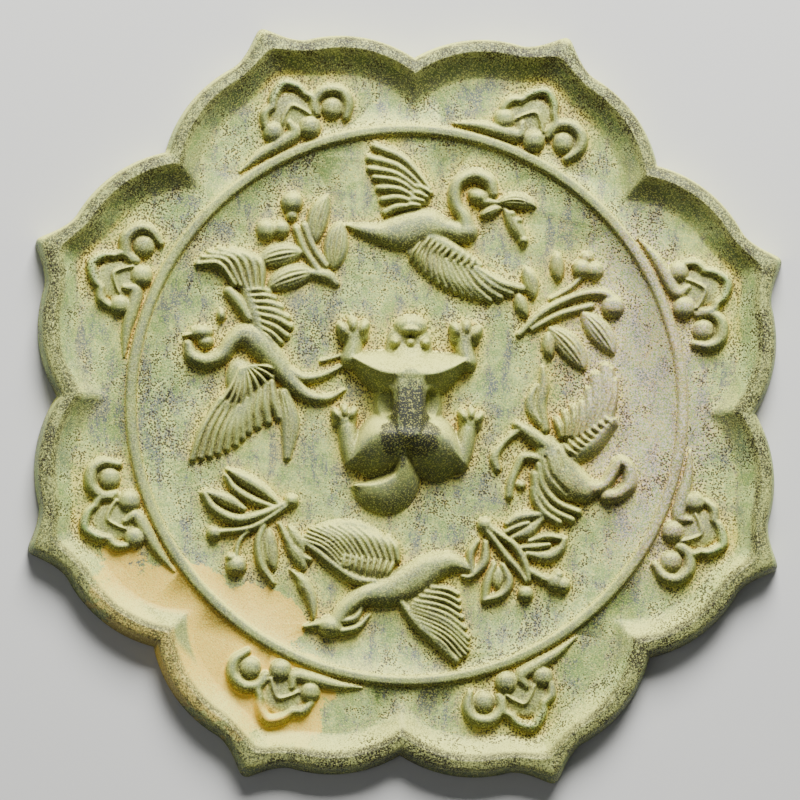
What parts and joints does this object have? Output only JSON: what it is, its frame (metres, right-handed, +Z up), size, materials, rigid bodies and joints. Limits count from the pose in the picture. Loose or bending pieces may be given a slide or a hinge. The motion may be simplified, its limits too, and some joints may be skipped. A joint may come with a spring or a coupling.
{
  "type": "ancient bronze mirror",
  "caption": "Eight-lobed cast bronze mirror lying face down, its back with a raised rim, cloud border and birds among leafy sprigs round a pierced beast knob",
  "frame": {"origin": "the middle of the flat polished face, which the mirror lies on", "axes": "+Z up out of the decorated back, +X to the right and +Y away from the viewer with the beast's head away"},
  "size_m": [0.2058, 0.2058, 0.0154],
  "materials": {
    "bronze": "pale green and grey patina with yellow earth in the hollows, matt"
  },
  "bodies": {
    "root": {"mirror": "bronze"}
  },
  "joints": []
}
